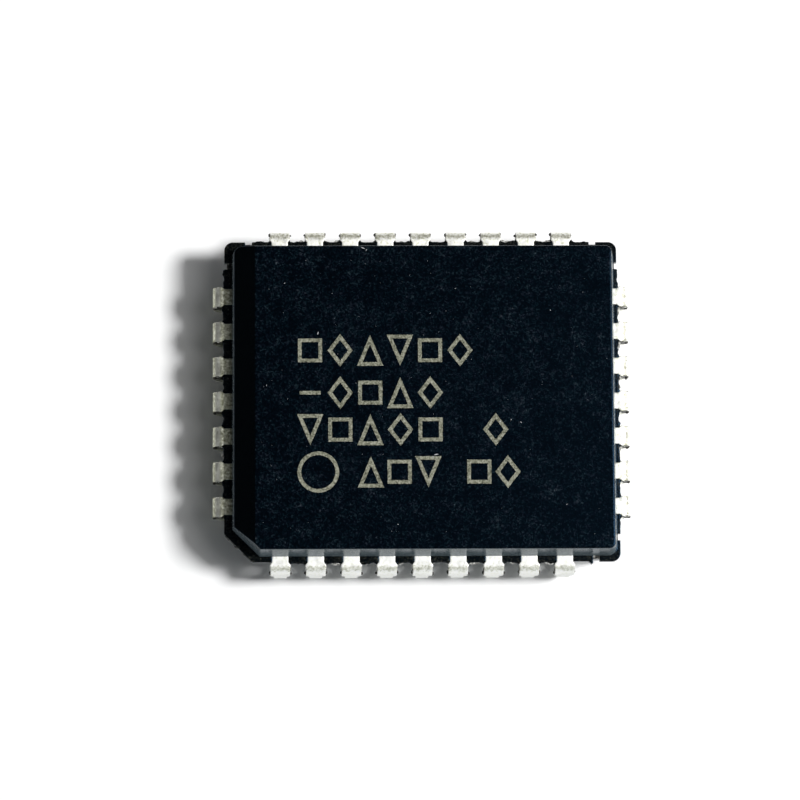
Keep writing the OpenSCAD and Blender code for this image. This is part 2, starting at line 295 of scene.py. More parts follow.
def mould_material():
    material, tree, shader = new_material("mould_compound")
    place = object_place(tree)
    height = coordinates(tree, place)["Z"]
    fine = noise(tree, place, *MOULD_FINE)
    cloud = noise(tree, place, *MOULD_CLOUD)
    level = combine(tree, "MULTIPLY_ADD", cloud, CLOUD_SHARE, combine(tree, "ADD", fine, FINE_SHIFT))
    edges = rounded(tree, MOULD_ROUND)
    on_top = combine(tree, "GREATER_THAN", height, TOP_LEVEL)
    below = combine(tree, "LESS_THAN", height, FLASH_HIGH)
    on_flash = combine(tree, "MULTIPLY", below, combine(tree, "GREATER_THAN", height, FLASH_LOW))
    # painted sheen on the walls, lighter towards the parting line as painted reflection
    wall_sheen = wall_sheen_tones(tree, height, level)
    # upright walls take the painted sheen; the leaning bevel is near-black, partly polished and partly
    # painted shade
    sides_sheen_and_shade = blend(tree, upright(tree, edges), tones(tree, level, POLISHED_AND_SHADED), wall_sheen)
    smooth = blend(tree, on_flash, sides_sheen_and_shade, tones(tree, level, SEEPED))
    # the top face takes its speckle of grain and painted glints
    plain = blend(tree, on_top, smooth, ground_grain_and_glints(tree, place, level))
    scuff = spot(tree, place, SCUFF_PLACE, SCUFF_SIZE, fine)
    link(tree, blend(tree, scuff, plain, rgb(tree, SCUFFED)), shader.inputs["Base Color"])
    glint = noise(tree, place, *MOULD_GLINT)
    link(tree, bump(tree, glint, *MOULD_BUMPS, edges), shader.inputs["Normal"])
    shader.inputs["Roughness"].default_value = MOULD_ROUGHNESS
    shader.inputs["Specular Tint"].default_value = MOULD_TINT
    shader.inputs["Specular IOR Level"].default_value = MOULD_SPECULAR
    return material


# Lead plating

LEAD_GRAIN = (11000.0, 3.0, 0.7)
LEAD_WIDE = (3500.0, 2.0)
LEAD_ROUGHNESS = [(0.38, 0.36), (0.62, 0.62)]
LEAD_ROUND = 0.08 * mm
LEAD_WIDE_BUMPS = (0.6, 0.03 * mm)
LEAD_GRAIN_BUMPS = (0.35, 0.008 * mm)

# Tones of tin, which PLATING also uses as painted light and shade
BRIGHT_TIN = [(0.33, (0.66, 0.67, 0.50)), (0.47, (1.00, 1.00, 0.92)), (0.62, (1.00, 1.00, 0.97))]
CLEAN_LIT_TIN = [(0.33, (0.86, 0.87, 0.76)), (0.47, (1.00, 1.00, 0.95)), (0.62, (1.00, 1.00, 0.98))]
DULL_SHADED_TIN = [(0.35, (0.24, 0.245, 0.16)), (0.50, (0.52, 0.53, 0.41)), (0.64, (0.84, 0.85, 0.74))]
CRACKED_TIN = [(0.40, (0.16, 0.15, 0.085)), (0.52, (0.44, 0.42, 0.29)), (0.64, (0.90, 0.90, 0.78))]
# Near-black of the cut sides: partly bare sheared metal, partly painted shade
SHEARED_AND_SHADED = [(0.35, (0.010, 0.009, 0.007)), (0.65, (0.16, 0.15, 0.11))]

# The tin of each side: direction along the side, tones of the faces and over the bend, metallic level
ALONG_END = (0.0, 1.0, 0.0)
ALONG_LENGTH = (1.0, 0.0, 0.0)
# The left leads' dull tin is partly tarnish and partly painted shade of the body's shadow, and their
# clean bends are a painted highlight. The front leads' clean tin is partly painted light, and their
# dull bends are painted shade.
PLATING = {
    "left": (ALONG_END, DULL_SHADED_TIN, CLEAN_LIT_TIN, 0.85),
    "right": (ALONG_END, BRIGHT_TIN, CRACKED_TIN, 0.55),
    "back": (ALONG_LENGTH, BRIGHT_TIN, CRACKED_TIN, 0.55),
    "front": (ALONG_LENGTH, CLEAN_LIT_TIN, DULL_SHADED_TIN, 0.30),
}

# Sheared faces, painted near-black as bare metal and as shade, look along their side, at least this
# squarely, and are less metallic by this much
SQUARE_ON = 0.75
SHEARED_LOSS = -0.45

# The outside of a lead's upper bend, worn as it was bent, and where a highlight on the left leads and
# shade on the front leads are painted: how far it lies beyond the body, its width, its lowest place,
# and how it fades
BEND_OUT = 0.23 * mm
BEND_WIDTH = 0.24 * mm
BEND_LOW = 1.95 * mm
BEND_FADE = [(0.62, 0.6), (0.98, 0.0)]

# Lowest place of the sheared metal and its painted shade, and how ragged its limit is
CUT_LOW = 1.55 * mm
CUT_RAGGED = 0.3 * mm


def lead_material(name, across, tin_tones, bend_tones, metallic):
    """Rough tin over the faces of a lead, with near-black on the two sides it was cut along: partly
    bare sheared metal, partly painted shade.
    """
    material, tree, shader = new_material(name)
    place = object_place(tree)
    grain = noise(tree, place, *LEAD_GRAIN)
    wide = noise(tree, place, *LEAD_WIDE)
    bend_wear_and_light = bend_zone(tree, place, across, grain)
    # painted light and shade come with the tones of each side and of its bend
    tin = blend(tree, bend_wear_and_light, tones(tree, grain, tin_tones), tones(tree, grain, bend_tones))
    # near-black sides: sheared metal with painted shade
    shaded_cut = combine(tree, "MULTIPLY", side_face(tree, across), cut_zone(tree, place, wide))
    link(tree, blend(tree, shaded_cut, tin, tones(tree, grain, SHEARED_AND_SHADED)), shader.inputs["Base Color"])
    link(tree, combine(tree, "MULTIPLY_ADD", shaded_cut, SHEARED_LOSS, metallic), shader.inputs["Metallic"])
    link(tree, fade(tree, wide, LEAD_ROUGHNESS), shader.inputs["Roughness"])
    normal = bump(tree, wide, *LEAD_WIDE_BUMPS, rounded(tree, LEAD_ROUND))
    link(tree, bump(tree, grain, *LEAD_GRAIN_BUMPS, normal), shader.inputs["Normal"])
    return material


def side_face(tree, across):
    """One on faces that look along the given direction or against it."""
    normal = node(tree, "ShaderNodeNewGeometry").outputs["True Normal"]
    share = vector_math(tree, "DOT_PRODUCT", normal, across)["Value"]
    return combine(tree, "GREATER_THAN", combine(tree, "ABSOLUTE", share), SQUARE_ON)


def bend_zone(tree, place, across, ragged):
    """Up to 0.6 over the outside of a lead's upper bend, with ragged limits."""
    axis, edge = ("X", BODY_HIGH[0]) if across == ALONG_END else ("Y", BODY_HIGH[1])
    split = coordinates(tree, place)
    out = combine(tree, "ABSOLUTE", split[axis])
    far = combine(tree, "ABSOLUTE", combine(tree, "SUBTRACT", out, float(edge) + BEND_OUT))
    level = combine(tree, "MULTIPLY_ADD", far, 1.0 / BEND_WIDTH, ragged)
    high = combine(tree, "GREATER_THAN", split["Z"], BEND_LOW)
    return combine(tree, "MULTIPLY", high, fade(tree, level, BEND_FADE))


def cut_zone(tree, place, ragged):
    """One above the lower end of the shoulder, with a ragged limit."""
    level = combine(tree, "MULTIPLY_ADD", ragged, CUT_RAGGED, coordinates(tree, place)["Z"])
    return combine(tree, "GREATER_THAN", level, CUT_LOW)


def lead_side(name):
    """The side of the body where a lead stands, as PLATING names it."""
    low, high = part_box(name)
    if low[0] < BODY_LOW[0] - SIDE_MARGIN:
        return "left"
    if high[0] > BODY_HIGH[0] + SIDE_MARGIN:
        return "right"
    if low[1] < BODY_LOW[1] - SIDE_MARGIN:
        return "front"
    return "back"


# Metals inside the body

METAL_GRAIN = (4000.0, 3.0, 0.55)
METAL_BUMPS = (0.3, 0.004 * mm)
METAL_DARK = 0.8


def plain_metal(name, colour, roughness):
    dark = tuple(METAL_DARK * part for part in colour)
    stops = [(0.3, dark), (0.7, colour)]
    return grain_material(name, METAL_GRAIN, stops, roughness, METAL_BUMPS, metallic=1.0)


# The cut ends of the tie bars lie beyond these places
CUT_FACE_X = 6.75 * mm
CUT_FACE_Y = 5.57 * mm

PADDLE_GRAIN = (9000.0, 3.0, 0.7)
PADDLE_METALLIC = 0.6
PADDLE_ROUGHNESS = [(0.3, 0.35), (0.7, 0.6)]
PADDLE_BUMPS = (0.4, 0.01 * mm)
COPPER = [(0.3, (0.58, 0.36, 0.22)), (0.7, (0.72, 0.45, 0.28))]
CUT_END = [
    (0.42, (0.004, 0.005, 0.006)),
    (0.55, (0.05, 0.05, 0.045)),
    (0.66, (0.55, 0.55, 0.52)),
]


def beyond(tree, value, limit):
    """One where a coordinate lies farther from the middle than the limit."""
    return combine(tree, "GREATER_THAN", combine(tree, "ABSOLUTE", value), limit)


def paddle_material():
    material, tree, shader = new_material("paddle_metal")
    place = object_place(tree)
    grain = noise(tree, place, *PADDLE_GRAIN)
    split = coordinates(tree, place)
    far_x = beyond(tree, split["X"], CUT_FACE_X)
    far_y = beyond(tree, split["Y"], CUT_FACE_Y)
    outside = combine(tree, "MAXIMUM", far_x, far_y)
    colour = blend(tree, outside, tones(tree, grain, COPPER), tones(tree, grain, CUT_END))
    link(tree, colour, shader.inputs["Base Color"])
    link(tree, fade(tree, grain, PADDLE_ROUGHNESS), shader.inputs["Roughness"])
    link(tree, bump(tree, grain, *PADDLE_BUMPS), shader.inputs["Normal"])
    shader.inputs["Metallic"].default_value = PADDLE_METALLIC
    return material


def assign(node_name, material):
    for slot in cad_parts[node_name].material_slots:
        slot.material = material


def add_piece(name, bm, material, smooth=False):
    """A piece of the scene's own, which rides on the only body."""
    mesh = bpy.data.meshes.new(name)
    bm.to_mesh(mesh)
    bm.free()
    mesh.materials.append(material)
    for polygon in mesh.polygons:
        polygon.use_smooth = smooth
    piece = bpy.data.objects.new(name, mesh)
    bpy.context.scene.collection.objects.link(piece)
    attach(piece, "root")


# Plain shapes marked on the top face

STROKE = 0.132
MARK_HEIGHT = 0.003
MARK_WOBBLE = 0.007
MARK_STEP = 0.05
RING_POINTS = 40

# In a shape thinner than two strokes, the stroke is this share of its width, which leaves a slit
THIN_SHARE = 0.49

MARK_GRAIN = (14000.0, 2.0, 0.8)
MARK_TONES = [
    (0.32, (0.060, 0.062, 0.044)),
    (0.50, (0.215, 0.217, 0.160)),
    (0.68, (0.400, 0.400, 0.330)),
]
MARK_ROUGHNESS = 0.85
MARK_SPECULAR = 0.1
MARK_BUMPS = (0.4, 0.004 * mm)


def lozenge(width, height):
    return [(width / 2, 0.0), (0.0, height / 2), (-width / 2, 0.0), (0.0, -height / 2)]


def box_shape(width, height):
    x, y = width / 2, height / 2
    return [(x, -y), (x, y), (-x, y), (-x, -y)]


def pointing_up(width, height):
    return [(width / 2, -height / 2), (0.0, height / 2), (-width / 2, -height / 2)]


def pointing_down(width, height):
    return [(width / 2, height / 2), (-width / 2, height / 2), (0.0, -height / 2)]


def ring_shape(width):
    turns = [i / RING_POINTS * math.tau for i in range(RING_POINTS)]
    return [(width / 2 * math.cos(turn), width / 2 * math.sin(turn)) for turn in turns]


def inset(points, distance):
    """The same convex outline with every side moved inwards."""
    lines = []
    for start, end in zip(points, points[1:] + points[:1]):
        start, end = Vector(start), Vector(end)
        run = (end - start).normalized()
        inward = Vector((-run.y, run.x))
        lines.append((start + inward * distance, run))
    moved = []
    for i in range(len(points)):
        (p, u), (q, v) = lines[i - 1], lines[i]
        cross = u.x * v.y - u.y * v.x
        share = ((q - p).x * v.y - (q - p).y * v.x) / cross
        moved.append(tuple(p + u * share))
    return moved


def inset_depth(points):
    """The width of a stroke, or less in a thin shape."""
    spans = [max(axis) - min(axis) for axis in zip(*points)]
    return min(STROKE, THIN_SHARE * min(spans))


def side_counts(points):
    """How many parts each side of an outline is cut into."""
    sides = zip(points, points[1:] + points[:1])
    return [max(1, round((Vector(end) - Vector(start)).length / MARK_STEP)) for start, end in sides]


def cut_outline(points, counts):
    """An outline with each of its sides cut into the given number of parts."""
    fine = []
    for start, end, count in zip(points, points[1:] + points[:1], counts):
        fine += [Vector(start).lerp(Vector(end), k / count) for k in range(count)]
    return fine


def add_band(bm, centre, outer, inner, level, height, rng):
    """A thin raised band between two outlines that have the same number of corners."""
    counts = side_counts(outer)
    rings = []
    for points in (outer, inner):
        placed = []
        for point in cut_outline(points, counts):
            wobble = Vector((rng.uniform(-1, 1), rng.uniform(-1, 1))) * MARK_WOBBLE
            placed.append((point + wobble + Vector(centre)) * mm)
        rings.append(placed)
    low = [[bm.verts.new((p.x, p.y, level)) for p in ring] for ring in rings]
    high = [[bm.verts.new((p.x, p.y, level + height)) for p in ring] for ring in rings]
    count = len(low[0])
    for i in range(count):
        j = (i + 1) % count
        bm.faces.new((high[0][i], high[0][j], high[1][j], high[1][i]))
        bm.faces.new((low[0][j], low[0][i], low[1][i], low[1][j]))
        bm.faces.new((low[0][i], low[0][j], high[0][j], high[0][i]))
        bm.faces.new((low[1][j], low[1][i], high[1][i], high[1][j]))


def mark_rows():
    """Rows of shapes: middle of the first, distance to the next, and the outlines in order."""
    diamond = lozenge(0.90, 1.18)
    square = box_shape(0.86, 0.86)
    up = pointing_up(0.94, 1.12)
    down = pointing_down(0.94, 1.12)
    dash = box_shape(0.74, STROKE * 1.02)
    ring = ring_shape(1.48)
    return [
        ((-4.00, 1.66), 1.07, [square, diamond, up, down, square, diamond]),
        ((-4.00, 0.13), 1.07, [dash, diamond, square, up, diamond]),
        ((-4.00, -1.20), 1.07, [down, square, up, diamond, square]),
        ((2.60, -1.20), 1.0, [diamond]),
        ((-3.72, -2.72), 1.0, [ring]),
        ((-1.85, -2.72), 1.02, [up, square, down]),
        ((2.00, -2.72), 1.02, [square, diamond]),
    ]


def make_marks():
    rng = random.Random(11)
    bm = bmesh.new()
    for (x, y), step, shapes in mark_rows():
        for i, shape in enumerate(shapes):
            inner = inset(shape, inset_depth(shape))
            add_band(bm, (x + i * step, y), shape, inner, BODY_HIGH[2], MARK_HEIGHT * mm, rng)
    material = grain_material(
        "marking", MARK_GRAIN, MARK_TONES, MARK_ROUGHNESS, MARK_BUMPS, specular=MARK_SPECULAR
    )
    add_piece("marks", bm, material)


# The sides of the package, its leads and its chamfered corner

PITCH = 1.27
LEADS_AT_END = 7
LEADS_ALONG = 9

# Half widths of a lead at the body and at its shoulder, and how far out its outer face stands
LEAD_HALF = 0.30
SHOULDER_HALF = 0.35
LEAD_OUT = 0.42

# Half sizes of the body with its flash
FLASH_X = BODY_HIGH[0] / mm
FLASH_Y = BODY_HIGH[1] / mm

# Outward direction of each of the four sides, and distance of its edge from the middle
SIDES = [
    (Vector((-1.0, 0.0)), FLASH_X),
    (Vector((0.0, -1.0)), FLASH_Y),
    (Vector((1.0, 0.0)), FLASH_X),
    (Vector((0.0, 1.0)), FLASH_Y),
]

# The chamfered corner, low on the left: its size on the body and the reach of the flash past that,
# then outward direction, distance of its edge from the middle, and middle along the edge
CHAMFER = 0.97
FLASH_REACH = 0.09
CHAMFER_OUT = Vector((-1.0, -1.0)).normalized()
CHAMFER_EDGE = (FLASH_X + FLASH_Y - 2.0 * FLASH_REACH - CHAMFER) / math.sqrt(2.0) + FLASH_REACH
CHAMFER_MIDDLE = (FLASH_Y - FLASH_X) / math.sqrt(2.0)


def along(outward):
    return Vector((-outward.y, outward.x))


def on_side(outward, place, out):
    """The point at a place along one side, at a distance out from the middle of the body."""
    return along(outward) * place + outward * out


def lead_places(outward):
    """Where the leads of one side stand along it."""
    count = LEADS_AT_END if abs(outward.x) > 0.5 else LEADS_ALONG
    return [(i - (count - 1) / 2.0) * PITCH for i in range(count)]


def lead_edges():
    """Both edges of every lead: outward direction, edge of the body, place of the lead, hand."""
    for outward, edge in SIDES:
        for place in lead_places(outward):
            for hand in (-1.0, 1.0):
                yield outward, edge, place, hand


# Ragged ledges of plastic that seeped out along the parting line

RIBBON_STEP = 0.03
RIBBON_IN = 0.03
TOP_SHARE = 0.75

# Room between a lead and the ledges beside it, and the least length of a ledge
CLEAR = 0.012
SHORTEST = 0.1


def ribbon_parts(start, end):
    return max(3, int((end - start) / RIBBON_STEP))


def wave(rng, count, roughness):
    """A ragged line of levels from nought to one."""
    levels = [rng.random() for _ in range(count)]
    return [
        (levels[i] + roughness * (levels[i - 1] + levels[(i + 1) % count])) / (1.0 + 2.0 * roughness)
        for i in range(count)
    ]


def slow_wave(rng, count, span):
    """A line of levels that rises and falls over several places."""
    knots = [rng.random() for _ in range(count // span + 2)]
    levels = []
    for i in range(count):
        knot, rest = divmod(i, span)
        turn = 0.5 - 0.5 * math.cos(math.pi * rest / span)
        levels.append(knots[knot] * (1.0 - turn) + knots[knot + 1] * turn)
    return levels


def add_ribbon(bm, outward, edge, start, end, profile):
    """A thin ragged ledge along one side; profile gives reach, top and bottom at each place."""
    count = ribbon_parts(start, end)
    rows = []
    for i in range(count + 1):
        place = start + (end - start) * i / count
        reach, top, bottom = profile(i, place)
        inner = on_side(outward, place, edge - RIBBON_IN) * mm
        outer = on_side(outward, place, edge + reach) * mm
        outer_top = TOP_SHARE * top + (1.0 - TOP_SHARE) * bottom
        rows.append([
            bm.verts.new((inner.x, inner.y, bottom * mm)),
            bm.verts.new((outer.x, outer.y, bottom * mm)),
            bm.verts.new((outer.x, outer.y, outer_top * mm)),
            bm.verts.new((inner.x, inner.y, top * mm)),
        ])
    for first, second in zip(rows, rows[1:]):
        for k in range(4):
            bm.faces.new((first[k], first[(k + 1) % 4], second[(k + 1) % 4], second[k]))
    bm.faces.new(rows[0][::-1])
    bm.faces.new(rows[-1])


# The flash fringe keeps off the corners, the chamfer and the filling point on the front edge
CORNER_KEEP = 1.0
CHAMFER_KEEP = 1.1
FILLING_X = 5.6
FILLING_DEPTH = 0.1

# Its reach: least, ragged part, broad part, and climb along a lead, which fades over a length
FRINGE_REACH = 0.004
FRINGE_RAGGED = 0.03
FRINGE_BROAD = 0.06
FRINGE_CLIMB = 0.08
CLIMB_FADE = 0.07

# Smoothing of its ragged and of its height levels, and places from one broad level to the next
FRINGE_SMOOTH = 0.3
HEIGHT_SMOOTH = 0.8
BROAD_SPAN = 5

# How far its top lies below the parting line, how much that varies, and the same above the sheet's
# lower face for its bottom
FRINGE_TOP = 0.015
FRINGE_BOTTOM = 0.03
FRINGE_VARIES = 0.05


def fringe_profile(rng, start, end, lead_at_start, lead_at_end):
    count = ribbon_parts(start, end) + 1
    ragged = wave(rng, count, FRINGE_SMOOTH)
    broad = slow_wave(rng, count, BROAD_SPAN)
    heights = wave(rng, count, HEIGHT_SMOOTH)

    def profile(i, place):
        climb = 0.0
        if lead_at_start:
            climb += math.exp(-(place - start) / CLIMB_FADE)
        if lead_at_end:
            climb += math.exp(-(end - place) / CLIMB_FADE)
        swell = FRINGE_BROAD * broad[i] ** 3
        reach = FRINGE_REACH + FRINGE_RAGGED * ragged[i] + swell + FRINGE_CLIMB * climb
        top = PARTING - FRINGE_TOP - FRINGE_VARIES * heights[i]
        return reach, top, PARTING - LEAD_T + FRINGE_BOTTOM + FRINGE_VARIES * ragged[i]

    return profile


def fringe_stretches(outward):
    """Stretches of one side between leads: start, end, and whether a lead stands at each of them."""
    other = FLASH_Y if abs(outward.x) > 0.5 else FLASH_X
    stops = [-other + CORNER_KEEP] + lead_places(outward) + [other - CORNER_KEEP]
    for i in range(len(stops) - 1):
        after_lead = i > 0
        before_lead = i < len(stops) - 2
        start = stops[i] + (LEAD_HALF + CLEAR if after_lead else 0.0)
        end = stops[i + 1] - (LEAD_HALF + CLEAR if before_lead else 0.0)
        yield start, end, after_lead, before_lead


def edge_cut(outward, edge, start, end):
    """Whether a stretch of the edge runs into the chamfered corner or the filling point."""
    for place in (start, end):
        point = on_side(outward, place, edge)
        if point.x < CHAMFER_KEEP - FLASH_X and point.y < CHAMFER_KEEP - FLASH_Y:
            return True
        if point.x > FILLING_X and point.y < FILLING_DEPTH - FLASH_Y:
            return True
    return False


def make_fringe(material):
    rng = random.Random(23)
    bm = bmesh.new()
    for outward, edge in SIDES:
        for start, end, after_lead, before_lead in fringe_stretches(outward):
            if end - start < SHORTEST or edge_cut(outward, edge, start, end):
                continue
            profile = fringe_profile(rng, start, end, after_lead, before_lead)
            add_ribbon(bm, outward, edge, start, end, profile)
    bmesh.ops.recalc_face_normals(bm, faces=bm.faces)
    add_piece("flash_fringe", bm, material)


# Thin pale resin below the fringe, whose pale tone is partly resin bleed and partly a painted highlight
# along the flash's edge: heights, reach beside the leads and at the chamfer, ragged part, places from
# one broad level to the next, and the level below which there is none
BLEED_TOP = PARTING - 0.09
BLEED_THICK = 0.02
BLEED_REACH = 0.10
CHAMFER_BLEED = 0.06
CHAMFER_LENGTH = 1.3
BLEED_RAGGED = 0.03
BLEED_SMOOTH = 0.3
BLEED_SPAN = 6
BLEED_NONE = 0.25

BLEED_GRAIN = (12000.0, 3.0, 0.7)
# pale tones, partly a painted highlight along the flash's edge
BLEED_AND_RIM_TONES = [
    (0.38, (0.030, 0.031, 0.027)),
    (0.50, (0.30, 0.30, 0.28)),
    (0.62, (0.75, 0.75, 0.71)),
]
BLEED_ROUGHNESS = 0.6
BLEED_BUMPS = (0.4, 0.01 * mm)


def add_bleed(bm, outward, edge, start, end, most, rng):
    count = ribbon_parts(start, end) + 1
    ragged = wave(rng, count, BLEED_SMOOTH)
    broad = slow_wave(rng, count, BLEED_SPAN)

    def profile(i, place):
        share = max(0.0, broad[i] - BLEED_NONE) / (1.0 - BLEED_NONE)
        reach = most * share + BLEED_RAGGED * ragged[i] * share
        return reach, BLEED_TOP, BLEED_TOP - BLEED_THICK

    add_ribbon(bm, outward, edge, start, end, profile)


def make_bleed_and_rims():
    rng = random.Random(61)
    bm = bmesh.new()
    for outward, edge in SIDES:
        places = lead_places(outward)
        for first, second in zip(places, places[1:]):
            start = first + LEAD_HALF + CLEAR
            end = second - LEAD_HALF - CLEAR
            add_bleed(bm, outward, edge, start, end, BLEED_REACH, rng)
    start = CHAMFER_MIDDLE - CHAMFER_LENGTH / 2.0
    end = CHAMFER_MIDDLE + CHAMFER_LENGTH / 2.0
    add_bleed(bm, CHAMFER_OUT, CHAMFER_EDGE, start, end, CHAMFER_BLEED, rng)
    bmesh.ops.recalc_face_normals(bm, faces=bm.faces)
    material = grain_material("resin_bleed_and_rim_highlight", BLEED_GRAIN, BLEED_AND_RIM_TONES, BLEED_ROUGHNESS, BLEED_BUMPS)
    add_piece("resin_bleed_and_rim_highlight", bm, material)


# Small rough lumps: slivers and stubs of metal on the leads, and dust

LUMP_ROUGH = 0.28


def add_lump(bm, middle, size, turn, rng):
    """A small rough lump of metal or dust."""
    made = bmesh.ops.create_icosphere(bm, subdivisions=2, radius=1.0)
    spin = Matrix.Rotation(turn, 3, "Z")
    for vert in made["verts"]:
        rough = 1.0 + rng.uniform(-LUMP_ROUGH, LUMP_ROUGH)
        shaped = Vector((vert.co.x * size[0], vert.co.y * size[1], vert.co.z * size[2])) * rough
        vert.co = (spin @ shaped + middle) * mm


def turned(outward, rng, most):
    """The direction of a side as an angle, turned at random by no more than the given angle."""
    return math.atan2(outward.y, outward.x) + rng.uniform(-most, most)


# Slivers on both edges of a lead, each as the least and the most: how many, how far out from the
# edge of the body, off the lead's edge, below the parting line, length, width and height
SLIVER_COUNTS = (1, 1, 2, 2)
SLIVER_OUT = (0.08, 0.32)
SLIVER_OFF = (0.0, 0.008)
SLIVER_BELOW = (0.06, 0.16)
SLIVER_LENGTH = (0.03, 0.07)
SLIVER_WIDTH = (0.012, 0.024)
SLIVER_HEIGHT = (0.015, 0.035)
SLIVER_TURN = 0.15

# Beyond this distance the lead bends down, and the slivers lie lower by this slope
BEND_START = 0.12
BEND_SLOPE = 0.5


def make_slivers(material):
    """Slivers that the dam bar's cut left on both edges of every lead."""
    rng = random.Random(31)
    bm = bmesh.new()
    for outward, edge, place, hand in lead_edges():
        for _ in range(rng.choice(SLIVER_COUNTS)):
            out = edge + rng.uniform(*SLIVER_OUT)
            across = place + hand * (SHOULDER_HALF + rng.uniform(*SLIVER_OFF))
            drop = max(0.0, out - edge - BEND_START) * BEND_SLOPE
            height = PARTING - rng.uniform(*SLIVER_BELOW) - drop
            flat = on_side(outward, across, out)
            size = [rng.uniform(*span) for span in (SLIVER_LENGTH, SLIVER_WIDTH, SLIVER_HEIGHT)]
            turn = turned(outward, rng, SLIVER_TURN)
            add_lump(bm, Vector((flat.x, flat.y, height)), size, turn, rng)
    add_piece("lead_slivers", bm, material, smooth=True)


# Stubs of the dam bar, near-black partly as sheared metal and partly as painted shade: how far in from
# a lead's outer face, height, and half sizes, and how much each of them, the distance off the lead's
# edge and the turn vary
STUB_IN = 0.08
STUB_HEIGHT = 1.86
STUB_HALF = (0.060, 0.055, 0.080)
STUB_IN_VARIES = (-0.02, 0.03)
STUB_HEIGHT_VARIES = (-0.08, 0.08)
STUB_SIZE_VARIES = (0.7, 1.15)
STUB_OFF = (0.0, 0.02)
STUB_TURN = 0.1

STUB_GRAIN = (12000.0, 3.0, 0.7)
# near-black tones, partly painted shade
STUB_SHADE_TONES = [
    (0.35, (0.004, 0.004, 0.003)),
    (0.62, (0.030, 0.027, 0.020)),
    (0.74, (0.14, 0.13, 0.10)),
]
STUB_ROUGHNESS = 0.6
STUB_METALLIC = 0.1
STUB_BUMPS = (0.5, 0.01 * mm)


def make_stubs():
    rng = random.Random(71)
    bm = bmesh.new()
    for outward, edge, place, hand in lead_edges():
        across = place + hand * (SHOULDER_HALF + rng.uniform(*STUB_OFF))
        flat = on_side(outward, across, edge + LEAD_OUT - STUB_IN + rng.uniform(*STUB_IN_VARIES))
        height = STUB_HEIGHT + rng.uniform(*STUB_HEIGHT_VARIES)
        size = [half * rng.uniform(*STUB_SIZE_VARIES) for half in STUB_HALF]
        turn = turned(outward, rng, STUB_TURN)
        add_lump(bm, Vector((flat.x, flat.y, height)), size, turn, rng)
    material = grain_material(
        "sheared_metal_with_painted_shade", STUB_GRAIN, STUB_SHADE_TONES, STUB_ROUGHNESS, STUB_BUMPS, metallic=STUB_METALLIC
    )
    add_piece("dam_stubs", bm, material)


# Dust on the top face: place, length, width and turn in degrees
DUST = [
    ((-3.72, 2.28), 0.10, 0.035, 70.0),
    ((0.47, -2.10), 0.16, 0.04, 10.0),
    ((0.36, -2.20), 0.07, 0.03, 80.0),
    ((2.75, -0.92), 0.08, 0.03, 20.0),
    ((3.15, -0.86), 0.05, 0.03, 60.0),
    ((3.50, -0.95), 0.07, 0.025, -30.0),
    ((-2.10, 5.38), 0.14, 0.03, -25.0),
    ((-1.98, 5.30), 0.07, 0.025, 60.0),
    ((1.2, 3.9), 0.05, 0.02, 15.0),
    ((-4.9, 4.1), 0.05, 0.025, 40.0),
    ((4.6, 3.1), 0.05, 0.02, -60.0),
    ((-5.55, 0.4), 0.05, 0.02, 85.0),
    ((5.1, -3.9), 0.06, 0.02, 30.0),
    ((-0.9, -4.6), 0.05, 0.02, -10.0),
]

# Fine dust besides: how many specks, and the least and the most of place, length, width and turn
FINE_COUNT = 90
FINE_X = (-5.8, 6.6)
FINE_Y = (-5.3, 5.3)
FINE_LENGTH = (0.010, 0.030)
FINE_WIDTH = (0.006, 0.012)
FINE_TURN = (0, 180)

DUST_GRAIN = (20000.0, 2.0, 0.7)
DUST_TONES = [(0.35, (0.20, 0.21, 0.22)), (0.65, (0.66, 0.66, 0.68))]
DUST_ROUGHNESS = 0.8
DUST_BUMPS = (0.5, 0.003 * mm)


def make_dust():
    rng = random.Random(47)
    bm = bmesh.new()
    top = BODY_HIGH[2] / mm
    specks = list(DUST)
    for _ in range(FINE_COUNT):
        place = (rng.uniform(*FINE_X), rng.uniform(*FINE_Y))
        specks.append((place, *[rng.uniform(*span) for span in (FINE_LENGTH, FINE_WIDTH, FINE_TURN)]))
    for (x, y), length, width, turn in specks:
        size = (length / 2, width / 2, width / 3)
        add_lump(bm, Vector((x, y, top + width / 6)), size, math.radians(turn), rng)
    material = grain_material("dust", DUST_GRAIN, DUST_TONES, DUST_ROUGHNESS, DUST_BUMPS)
    add_piece("dust", bm, material)


# Floor and surroundings

FLOOR_SIZE = 0.6

# The floor as the other pieces are lit by it, and as it is seen, itself or in a reflection
FLOOR_LIT = grey(0.85)
FLOOR_SEEN = grey(1.04)

# Levels of the surroundings by height, from the floor's level up. There is a soft grey ring half way
# up, dim overhead. It is black low on the left and bright low on the right.
LEFT_LEVELS = [(0.0, 0.02), (0.40, 0.005), (0.60, 0.09), (0.82, 0.11), (0.94, 0.02)]
RIGHT_LEVELS = [(0.0, 0.5), (0.5, 0.30), (0.82, 0.17), (0.94, 0.02)]
FRONT_LEVELS = [(0.0, (0.30, 0.37, 0.41)), (0.7, (0.12, 0.12, 0.12))]

# Where the left turns into the right, and where the front begins, as shares of the way across
LEFT_TO_RIGHT = [(0.35, 0.0), (0.85, 1.0)]
TO_FRONT = [(0.64, 0.0), (0.86, 1.0)]


